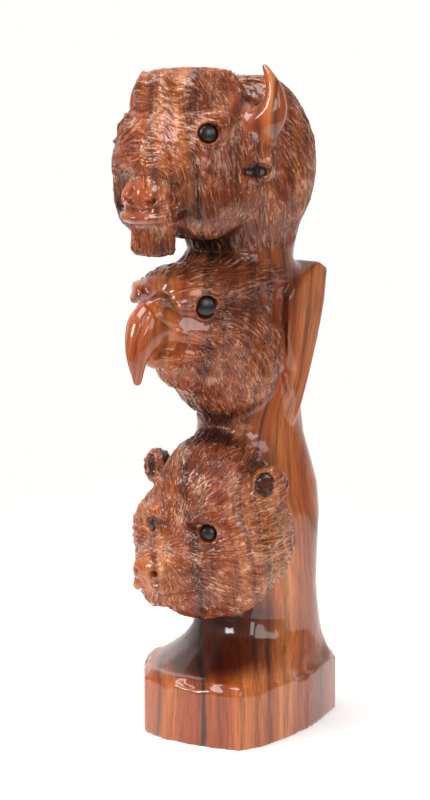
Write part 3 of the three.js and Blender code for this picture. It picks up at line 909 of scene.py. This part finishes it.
# For the wood: how deep in a cut each point lies, which the wood uses for painted shade in the cuts and
# painted highlight on the ridges, its place across that cut in mm, and the share of hair.
def strokeMarks(co, normals, made):
    wanted, cover, share, spots, deep, ways = nearestStroke(co, made)
    shadedGroove, across = np.zeros(len(co)), np.zeros(len(co))
    shadedGroove[wanted] = share * np.minimum(deep / 0.6, 1) * cover[wanted]
    sideways = np.cross(normals[wanted], ways)
    across[wanted] = ((co[wanted] - spots) * sideways).sum(1)
    return {"shadedGroove": shadedGroove, "across": across, "furred": cover}


# Painted shade: the wood is darkened where other wood overhangs it, in the ear hollows and on the foot under
# the bear.
paintedShade = {
    # how far out from the skin to look for wood above it, and what each look adds to the painted shade
    "looks": [(8, 0.15), (14, 0.25), (22, 0.3), (34, 0.3)],
    # less painted shade on the bison's nose, the eagle's bill and its crown
    "lessShade": [
        ((0, -68, 243), (19, 14, 16), 0.25, 0.6), ((0, -66, 186), (17, 16, 17), 0.25, 1),
        ((0, -38, 212), (32, 26, 9), 0.4, 1),
    ],
    "lessShadeShare": 0.7,
    "foot": ((4, -14, 44), (42, 36, 24), 0.4, 0.35),   # painted shade on the foot, which lies under the bear
    # painted shade in the hollow ears of the bison and the bear
    "shadedEars": [((37.2, -34.2, 260.2), (6.6, 6, 3.6)), ((34.8, -28, 120), (4.6, 8, 6.4))],
    "earShadeShare": 0.9,
}


def earHollowShade(p):  # 1 inside the hollow ears of the bison and the bear, which get painted shade
    return np.maximum(*[inEgg(p, at, radii, 0.15) for at, radii in paintedShade["shadedEars"]])


def overhangShade(p, normals):  # how far other wood overhangs each point: the wood is painted darker there, as painted shade
    out = np.zeros(len(p))
    for reach, share in paintedShade["looks"]:
        q = p + normals * reach
        out += share * np.clip(1 - np.minimum(outsidePole(q), outsideWings(q)) / reach, 0, 1)
    # the painted shade is weaker on the nose, the bill and the crown
    lessShade = np.zeros(len(p))
    for at, radii, soft, share in paintedShade["lessShade"]:
        lessShade = np.maximum(lessShade, inEgg(p, at, radii, soft) * share)
    out *= 1 - paintedShade["lessShadeShare"] * lessShade
    # painted shade on the foot under the bear
    at, radii, soft, share = paintedShade["foot"]
    out += share * inEgg(p, at, radii, soft)
    return np.maximum(out, paintedShade["earShadeShare"] * earHollowShade(p))


print("strokes: laying out")
normals = readNormals(pole.data)
tree = treeOf(co)
locks = cutStrokes(co, normals, tree, strokes["lockScale"], strokes["lockTries"])
co = pressStrokes(co, normals, locks)
writePoints(pole.data, co)
normals = readNormals(pole.data)
hairs = cutStrokes(co, normals, treeOf(co), 1.0, strokes["hairTries"])
print("strokes:", len(locks), "locks,", len(hairs), "hairs")
writePoints(pole.data, pressStrokes(co, normals, hairs))
applyModifier(pole, "DECIMATE", ratio=min(1, skin["faceLimit"] / (2 * len(pole.data.polygons))))
co = readPoints(pole.data)
pairs = readEdges(pole.data)
softNormals = readNormals(pole.data)
for _ in range(14):
    softNormals = neighbourMean(softNormals, pairs)
    softNormals /= np.linalg.norm(softNormals, axis=1)[:, None] + 1e-9
marks = strokeMarks(co, softNormals, hairs)
marks["overhangShade"] = overhangShade(co, softNormals)
# painted shade: the ear hollows take the dark colour of the cuts
marks["shadedGroove"] = np.maximum(marks["shadedGroove"], earHollowShade(co))
for name, values in marks.items():
    pole.data.attributes.new(name, "FLOAT", "POINT").data.foreach_set("value", values)
writePoints(pole.data, co * mm)
pole.data.polygons.foreach_set("use_smooth", np.ones(len(pole.data.polygons), bool))
print("carving:", len(pole.data.polygons), "faces")
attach(pole, "root")
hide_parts("carving")


# The six beads: squashed balls, each looking along its socket.
def eyeBead(name, centre, look, radius):
    bm = bmesh.new()
    bmesh.ops.create_uvsphere(bm, u_segments=40, v_segments=20, radius=1)
    turn = Vector(look).to_track_quat("Z", "Y").to_matrix().to_4x4()
    bmesh.ops.transform(bm, verts=bm.verts, matrix=Matrix.Scale(mm, 4) @ Matrix.Translation(centre) @ turn
                        @ Matrix.Diagonal((radius, radius, eyes["dome"], 1)))
    bead = placed(bm, name)
    bead.data.polygons.foreach_set("use_smooth", np.ones(len(bead.data.polygons), bool))
    return bead


print("eyes:", len(sockets), "beads")
beads = []
for animal, hand, seat, lookAlong, radius in sockets:
    bead = eyeBead(animal + hand.capitalize() + "EyeBead", seat, lookAlong, radius)
    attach(bead, "root")
    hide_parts(animal + "_eye_" + hand)
    beads.append(bead)


def colour(hexColour):  # sRGB hex to linear RGBA
    parts = [int(hexColour[i:i + 2], 16) / 255 for i in (1, 3, 5)]
    return tuple(c / 12.92 if c <= 0.04045 else ((c + 0.055) / 1.055) ** 2.4 for c in parts) + (1.0,)


# An input is a value, a socket, or a node, which stands for its first output.
def addNode(tree, kind, settings={}, inputs={}):
    node = tree.nodes.new("ShaderNode" + kind)
    for key, value in settings.items():
        setattr(node, key, value)
    for key, value in inputs.items():
        if isinstance(value, bpy.types.Node):
            value = value.outputs[0]
        if isinstance(value, bpy.types.NodeSocket):
            tree.links.new(value, node.inputs[key])
        else:
            node.inputs[key].default_value = value
    return node


def setRamp(node, stops):
    elements = node.color_ramp.elements
    while len(elements) > 1:
        elements.remove(elements[-1])
    elements[0].position, elements[0].color = stops[0]
    for position, tint in stops[1:]:
        elements.new(position).color = tint


def newMaterial(name, values):  # returns it with its node tree and its shader
    material = bpy.data.materials.new(name)
    material.use_nodes = True
    shader = material.node_tree.nodes["Principled BSDF"]
    for key, value in values.items():
        shader.inputs[key].default_value = value
    return material, material.node_tree, shader


# Desert ironwood, oiled and sealed with a thick clear gloss: orange-brown to red-brown with fine
# upright grain, and a few near-black growth streaks that run up the whole pole.
woodLook = {
    "light": "#cf7c40",
    "middle": "#a0481b",
    "deep": "#6a2a10",
    "streak": "#200d07",
    "shadedGroove": "#36100a",   # painted shade in the cuts
    "crestHighlight": "#ecb592",    # painted highlight on the ridges between them
    "paintedShade": "#684c3e",  # painted shade: multiplies the wood under the heads
    "layerAngle": 40.0,    # the growth layers lie square to this direction
    # place across the layers in mm, width, darkness of each streak
    "streaks": [(-38, 2.4, 0.7), (-30, 1.2, 0.4), (-19.6, 3.4, 0.95), (-12, 1.4, 0.4), (-1, 1.7, 0.5),
                (7, 2.0, 0.6), (14, 2.2, 0.8), (21.5, 1.8, 0.5), (29, 1.4, 0.5), (37, 2.2, 0.5)],
    "streakReach": 50.0,
    # how far the layers sway at each height, in mm
    "sway": [(0, 0), (60, 0), (75, -1), (95, -3), (104, -6), (115, -8), (135, -8), (165, -1),
             (200, 3), (225, 2), (245, 0), (310, 0)],
    "swayTop": 310.0,
    "swayReach": 15.0,
    # the layers bow and waver over these lengths in mm, this far, with this much detail
    "bow": ((90, 45, 160), 14.0, 1.0),
    "waver": ((8, 30, 22), 1.8, 2.0),
    "grainStretch": (1, 0.1, 0.045),       # across the layers, along them, up the pole
    "scratchStretch": (2.1, 0.13, 0.13),   # scratches 0.5 mm wide that follow the strokes of the gouge
    "scratchDepth": 0.5,
    "shader": {
        "Roughness": 0.5, "IOR": 1.5, "Specular IOR Level": 0.2, "Coat Roughness": 0.09, "Coat IOR": 1.5,
    },
    "coat": (1.0, 0.62),   # the gloss is thick on the bare wood and thinner on the cut hair
}


# The place by the layers in mm, the place across them once they sway, and the place in the grain.
def growthLayers(tree):
    place = addNode(tree, "TexCoord").outputs["Object"]
    inMm = addNode(tree, "VectorMath", {"operation": "SCALE"}, {0: place, "Scale": 1 / mm})
    turn = (0, 0, math.radians(woodLook["layerAngle"]))
    layers = addNode(tree, "Mapping", {"vector_type": "TEXTURE"}, {"Vector": inMm, "Rotation": turn})
    split = addNode(tree, "SeparateXYZ", {}, {0: layers})
    height = addNode(tree, "Math", {"operation": "DIVIDE"}, {0: split.outputs[2], 1: woodLook["swayTop"]})
    sway = addNode(tree, "FloatCurve", {}, {"Value": height})
    reach = woodLook["swayReach"]
    rows = [(z / woodLook["swayTop"], 0.5 + shift / (2 * reach)) for z, shift in woodLook["sway"]]
    points = sway.mapping.curves[0].points
    points[0].location, points[-1].location = rows[0], rows[-1]
    for row in rows[1:-1]:
        points.new(*row)
    sway.mapping.update()
    swayed = addNode(tree, "Math", {"operation": "MULTIPLY_ADD"}, {0: sway, 1: 2 * reach, 2: -reach})
    across = addNode(tree, "Math", {"operation": "SUBTRACT"}, {0: split, 1: swayed})
    for lengths, far, detail in (woodLook["bow"], woodLook["waver"]):
        shrunk = addNode(tree, "Mapping", {}, {"Vector": layers, "Scale": [1 / length for length in lengths]})
        wave = addNode(tree, "TexNoise", {}, {"Vector": shrunk, "Scale": 1.0, "Detail": detail})
        shift = addNode(tree, "Math", {"operation": "MULTIPLY_ADD"}, {0: wave, 1: far, 2: -far / 2})
        across = addNode(tree, "Math", {"operation": "ADD"}, {0: across, 1: shift})
    place = addNode(tree, "CombineXYZ", {}, {0: across, 1: split.outputs[1], 2: split.outputs[2]})
    grain = addNode(tree, "VectorMath", {"operation": "MULTIPLY"}, {0: place, 1: woodLook["grainStretch"]})
    return split, across, grain


def growthColour(tree, across, grain):  # broad tones, near-black streaks, pores and fibres
    broad = addNode(tree, "TexNoise", {}, {"Vector": grain, "Scale": 0.07, "Detail": 5.0, "Roughness": 0.6})
    tone = addNode(tree, "ValToRGB", {}, {"Fac": broad})
    tones = ((0.28, "deep"), (0.48, "middle"), (0.72, "light"))
    setRamp(tone, [(at, colour(woodLook[key])) for at, key in tones])
    reach = woodLook["streakReach"]
    place = addNode(tree, "Math", {"operation": "MULTIPLY_ADD"}, {0: across, 1: 0.5 / reach, 2: 0.5})
    streaks = addNode(tree, "ValToRGB", {}, {"Fac": place})
    clear = (0, 0, 0, 1)
    stops = [(0.0, clear)]
    for at, width, dark in woodLook["streaks"]:
        middle, half = 0.5 + 0.5 * at / reach, 0.5 * width / reach
        stops += [(middle - half, clear), (middle, (dark, dark, dark, 1)), (middle + half, clear)]
    setRamp(streaks, stops)
    # the streaks break up along their length, and thin ones of 1 mm wander between them
    gaps = addNode(tree, "TexNoise", {}, {"Vector": grain, "Scale": 0.5, "Detail": 3.0})
    broken = addNode(tree, "MapRange", {}, {0: gaps, 1: 0.3, 2: 0.55})
    threads = addNode(tree, "TexNoise", {}, {"Vector": grain, "Scale": 0.42, "Detail": 2.0, "Roughness": 0.4})
    thin = addNode(tree, "MapRange", {}, {0: threads, 1: 0.6, 2: 0.74, 4: 0.45})
    thick = addNode(tree, "Math", {"operation": "MULTIPLY"}, {0: streaks, 1: broken})
    darkness = addNode(tree, "Math", {"operation": "MAXIMUM"}, {0: thick, 1: thin})
    streaked = addNode(tree, "Mix", {"data_type": "RGBA"},
                       {"Factor": darkness, "A": tone, "B": colour(woodLook["streak"])})
    # pores and fibres, 0.5 to 1 mm across the grain
    pores = addNode(tree, "TexNoise", {}, {"Vector": grain, "Scale": 1.6, "Detail": 3.0, "Roughness": 0.65})
    fibres = addNode(tree, "ValToRGB", {}, {"Fac": pores})
    setRamp(fibres, [(0.32, (0.45, 0.34, 0.3, 1)), (0.5, (0.95, 0.95, 0.95, 1)), (0.7, (1.25, 1.25, 1.2, 1))])
    return addNode(tree, "Mix", {"data_type": "RGBA", "blend_type": "MULTIPLY"},
                   {"Factor": 0.75, "A": streaked.outputs[2], "B": fibres}).outputs[2]


def ironwoodMaterial():
    material, tree, shader = newMaterial("lacqueredIronwood", woodLook["shader"])
    split, across, grain = growthLayers(tree)
    wood = growthColour(tree, across, grain)
    cut, furred, acrossCut, under = [addNode(tree, "Attribute", {"attribute_name": name}).outputs["Fac"]
                                     for name in ("shadedGroove", "furred", "across", "overhangShade")]
    place = addNode(tree, "CombineXYZ", {}, {0: acrossCut, 1: split.outputs[0], 2: split.outputs[2]})
    scratches = addNode(tree, "VectorMath", {"operation": "MULTIPLY"},
                        {0: place, 1: woodLook["scratchStretch"]})
    hair = addNode(tree, "TexNoise", {}, {"Vector": scratches, "Scale": 1.0, "Detail": 2.0, "Roughness": 0.6})
    # painted highlight: pale crests where the hair stands up
    raised = addNode(tree, "Math", {"operation": "MULTIPLY_ADD"}, {0: cut, 1: -0.12, 2: hair})
    crestHighlight = addNode(tree, "MapRange", {}, {0: raised, 1: 0.5, 2: 0.66, 4: 0.7})
    highlightShare = addNode(tree, "Math", {"operation": "MULTIPLY"}, {0: crestHighlight, 1: furred})
    highlighted = addNode(tree, "Mix", {"data_type": "RGBA"},
                    {"Factor": highlightShare, "A": wood, "B": colour(woodLook["crestHighlight"])})
    # painted shade: dark scratches, and darker still in the cuts
    fine = addNode(tree, "MapRange", {}, {0: hair, 1: 0.5, 2: 0.34, 4: 0.5})
    deep = addNode(tree, "MapRange", {}, {0: cut, 1: 0.1, 2: 0.9, 4: 0.5})
    both = addNode(tree, "Math", {"operation": "MULTIPLY_ADD"}, {0: fine, 1: furred, 2: deep})
    grooveShadeShare = addNode(tree, "Math", {"operation": "MINIMUM"}, {0: both, 1: 0.9})
    shaded = addNode(tree, "Mix", {"data_type": "RGBA"},
                     {"Factor": grooveShadeShare, "A": highlighted.outputs[2], "B": colour(woodLook["shadedGroove"])})
    # painted shade under the heads, on the foot and in the ear hollows
    shade = addNode(tree, "MapRange", {}, {0: under, 1: 0.3, 2: 0.75, 4: 0.9})
    paintedUnderShade = addNode(tree, "Mix", {"data_type": "RGBA", "blend_type": "MULTIPLY"},
                        {"Factor": shade, "A": shaded.outputs[2], "B": colour(woodLook["paintedShade"])})
    tree.links.new(paintedUnderShade.outputs[2], shader.inputs["Base Color"])
    depth = woodLook["scratchDepth"] * mm
    bump = addNode(tree, "Bump", {}, {"Strength": furred, "Distance": depth, "Height": hair})
    tree.links.new(bump.outputs[0], shader.inputs["Normal"])
    bareCoat, hairCoat = woodLook["coat"]
    coat = addNode(tree, "MapRange", {}, {0: furred, 1: 0.0, 2: 1.0, 3: bareCoat, 4: hairCoat})
    tree.links.new(coat.outputs[0], shader.inputs["Coat Weight"])
    return material


# Black glass, polished: a warm brown-black where it faces the eye, and near black at the edge, which is
# painted shade.
beadLook = {"middle": "#231a15", "shadedEdge": "#0a0706", "shader": {"Roughness": 0.3, "IOR": 1.5}}


def beadMaterial():
    material, tree, shader = newMaterial("blackGlassEye", beadLook["shader"])
    shadedRim = addNode(tree, "LayerWeight", {}, {"Blend": 0.35}).outputs["Facing"]
    tint = addNode(tree, "ValToRGB", {}, {"Fac": shadedRim})
    setRamp(tint, [(0.08, colour(beadLook["middle"])), (0.35, colour(beadLook["shadedEdge"]))])
    tree.links.new(tint.outputs[0], shader.inputs["Base Color"])
    return material


print("materials: ironwood and glass")
pole.data.materials.clear()
pole.data.materials.append(ironwoodMaterial())
glass = beadMaterial()
for bead in beads:
    bead.data.materials.append(glass)

# A light tent over matt white paper. The paper glows a little, so that it runs into the white behind.
studio = {
    "paper": {"Base Color": colour("#e6e6e4"), "Roughness": 0.9, "Emission Color": (1, 1, 1, 1),
              "Emission Strength": 0.45},
    "paperReach": 0.4,
    "tent": (1, 1, 0.985, 1),
    "behind": 1.0,        # the tent is open, and so darker, on the camera's side
    "front": 0.16,
    "softboxes": {        # place and size in metres, power in watts
        "overhead": ((-0.15, -0.3, 1.15), (0.7, 0.7), 12),
        "rightBox": ((1.15, -0.1, 0.6), (0.4, 0.7), 3.0),
        "frontBox": ((-0.5, -1.2, 0.7), (0.4, 0.4), 9),
        "cameraBox": ((0.95, -0.72, 0.5), (0.55, 0.5), 4.4),
    },
    "aim": (0, 0, 0.15),
}
camera = {
    "azimuth": 40.0,      # degrees to the pole's left of straight ahead
    "away": 1.110,
    "height": 0.338,
    "slide": -0.0122,     # moves camera and aim sideways, to centre the pole
    "aimHeight": 0.1512,
    "lens": 109.8,
}


def addSoftbox(name):
    at, size, power = studio["softboxes"][name]
    light = bpy.data.lights.new(name, "AREA")
    light.shape = "RECTANGLE"
    light.size, light.size_y = size
    light.energy = power
    lamp = bpy.data.objects.new(name, light)
    lamp.location = at
    lamp.rotation_euler = (Vector(studio["aim"]) - Vector(at)).to_track_quat("-Z", "Y").to_euler()
    bpy.context.scene.collection.objects.link(lamp)


def addFloor():
    bm = bmesh.new()
    bmesh.ops.create_grid(bm, x_segments=1, y_segments=1, size=studio["paperReach"])
    floor = placed(bm, "studioFloor")
    floor.data.materials.append(newMaterial("whitePaper", studio["paper"])[0])


def addTent(azimuth):  # bright behind the pole, as the camera sees it
    world = bpy.data.worlds.new("lightTent")
    world.use_nodes = True
    tree = world.node_tree
    sky = addNode(tree, "TexCoord").outputs["Generated"]
    towardsCamera = addNode(tree, "VectorMath", {"operation": "DOT_PRODUCT"},
                            {0: sky, 1: (math.sin(azimuth), -math.cos(azimuth), 0)}).outputs["Value"]
    glow = addNode(tree, "MapRange", {},
                   {0: towardsCamera, 1: -0.9, 2: -0.3, 3: studio["behind"], 4: studio["front"]})
    background = tree.nodes["Background"]
    background.inputs[0].default_value = studio["tent"]
    tree.links.new(glow.outputs[0], background.inputs[1])
    bpy.context.scene.world = world


def addCamera(azimuth):
    rightward = Vector((math.cos(azimuth), math.sin(azimuth), 0)) * camera["slide"]
    away = camera["away"]
    eyePoint = Vector((math.sin(azimuth) * away, -math.cos(azimuth) * away, camera["height"])) + rightward
    aim = rightward + Vector((0, 0, camera["aimHeight"]))
    lens = bpy.data.cameras.new("studioCamera")
    lens.lens = camera["lens"]
    viewer = bpy.data.objects.new("studioCamera", lens)
    viewer.location = eyePoint
    viewer.rotation_euler = (aim - eyePoint).to_track_quat("-Z", "Y").to_euler()
    bpy.context.scene.collection.objects.link(viewer)
    bpy.context.scene.camera = viewer


print("studio")
addFloor()
addTent(math.radians(camera["azimuth"]))
for name in studio["softboxes"]:
    addSoftbox(name)
bpy.context.scene.view_settings.view_transform = "Standard"
addCamera(math.radians(camera["azimuth"]))
